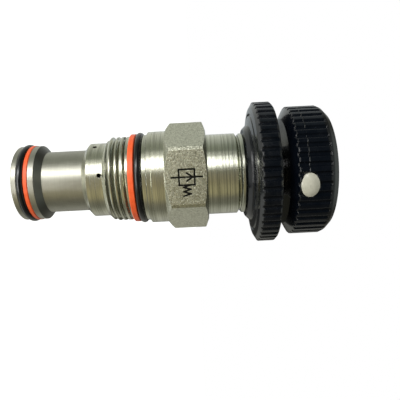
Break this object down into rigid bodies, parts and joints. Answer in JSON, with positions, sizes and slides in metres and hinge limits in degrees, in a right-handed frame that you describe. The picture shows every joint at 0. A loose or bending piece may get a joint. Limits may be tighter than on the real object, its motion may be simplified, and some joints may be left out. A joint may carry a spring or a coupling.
{
  "type": "cartridge valve",
  "caption": "Screw-in hydraulic cartridge valve with a sealed nose, threaded hex body, knurled lock knob and knurled adjusting knob.",
  "frame": {"origin": "on the valve's axis, in the plane of the hex's underside, which seats on the manifold", "axes": "+Z along the valve's axis, from the nose to the adjusting knob; a hex flat faces -Y"},
  "size_m": [0.033, 0.033, 0.0713],
  "materials": {
    "zinc_steel": "bright zinc plate over turned steel",
    "grey_steel": "matte phosphated steel",
    "hard_steel": "ground hardened steel",
    "spring_steel": "drawn wire",
    "brass": "turned",
    "black_rubber": "smooth nitrile",
    "orange_backup": "smooth elastomer",
    "black_knob": "moulded, glossy",
    "ivory_plug": "moulded, satin"
  },
  "bodies": {
    "cartridge": {"nose_sleeve": "grey_steel", "nose_o_ring": "black_rubber", "nose_backup_ring": "orange_backup", "sleeve_retaining_ring": "spring_steel", "valve_seat": "hard_steel", "valve_body": "zinc_steel", "body_o_ring": "black_rubber", "body_backup_ring": "orange_backup", "spring_housing": "zinc_steel", "housing_o_ring": "black_rubber", "main_spring": "spring_steel"},
    "poppet": {"poppet": "hard_steel", "spring_guide": "hard_steel"},
    "upper_spring_seat": {"spring_seat": "hard_steel"},
    "adjuster": {"adjusting_screw": "zinc_steel", "screw_o_ring": "black_rubber", "screw_backup_ring": "orange_backup", "adjust_knob": "black_knob", "knob_insert": "brass", "knob_set_screw": "spring_steel", "knob_plug": "ivory_plug"},
    "lock_washer": {"thrust_washer": "zinc_steel"},
    "lock_nut": {"lock_knob": "black_knob", "lock_knob_insert": "brass"}
  },
  "joints": [
    {"name": "poppet_lift", "type": "slide", "parent": "cartridge", "child": "poppet", "axis": [0, 0, 1], "range_m": [0, 0.0008], "stiffness_N_per_m": 20000, "springref_m": -0.004, "deforming": ["main_spring"]},
    {"name": "spring_seat_travel", "type": "slide", "parent": "cartridge", "child": "upper_spring_seat", "axis": [0, 0, 1], "range_m": [-0.0015, 0.0025], "deforming": ["main_spring"]},
    {"name": "adjust_knob_turn", "type": "hinge", "parent": "upper_spring_seat", "child": "adjuster", "pos_m": [0, 0, 0.0306], "axis": [0, 0, 1], "range_deg": [-540, 900]},
    {"name": "lock_washer_travel", "type": "slide", "parent": "cartridge", "child": "lock_washer", "axis": [0, 0, 1], "range_m": [0, 0.0005]},
    {"name": "lock_knob_turn", "type": "hinge", "parent": "lock_washer", "child": "lock_nut", "pos_m": [0, 0, 0.0215], "axis": [0, 0, 1], "range_deg": [0, 180]}
  ],
  "couplings": [
    {"joint": "adjust_knob_turn", "follows": "spring_seat_travel", "rad_per_m": 6283.2},
    {"joint": "lock_knob_turn", "follows": "lock_washer_travel", "rad_per_m": 6283.2}
  ]
}
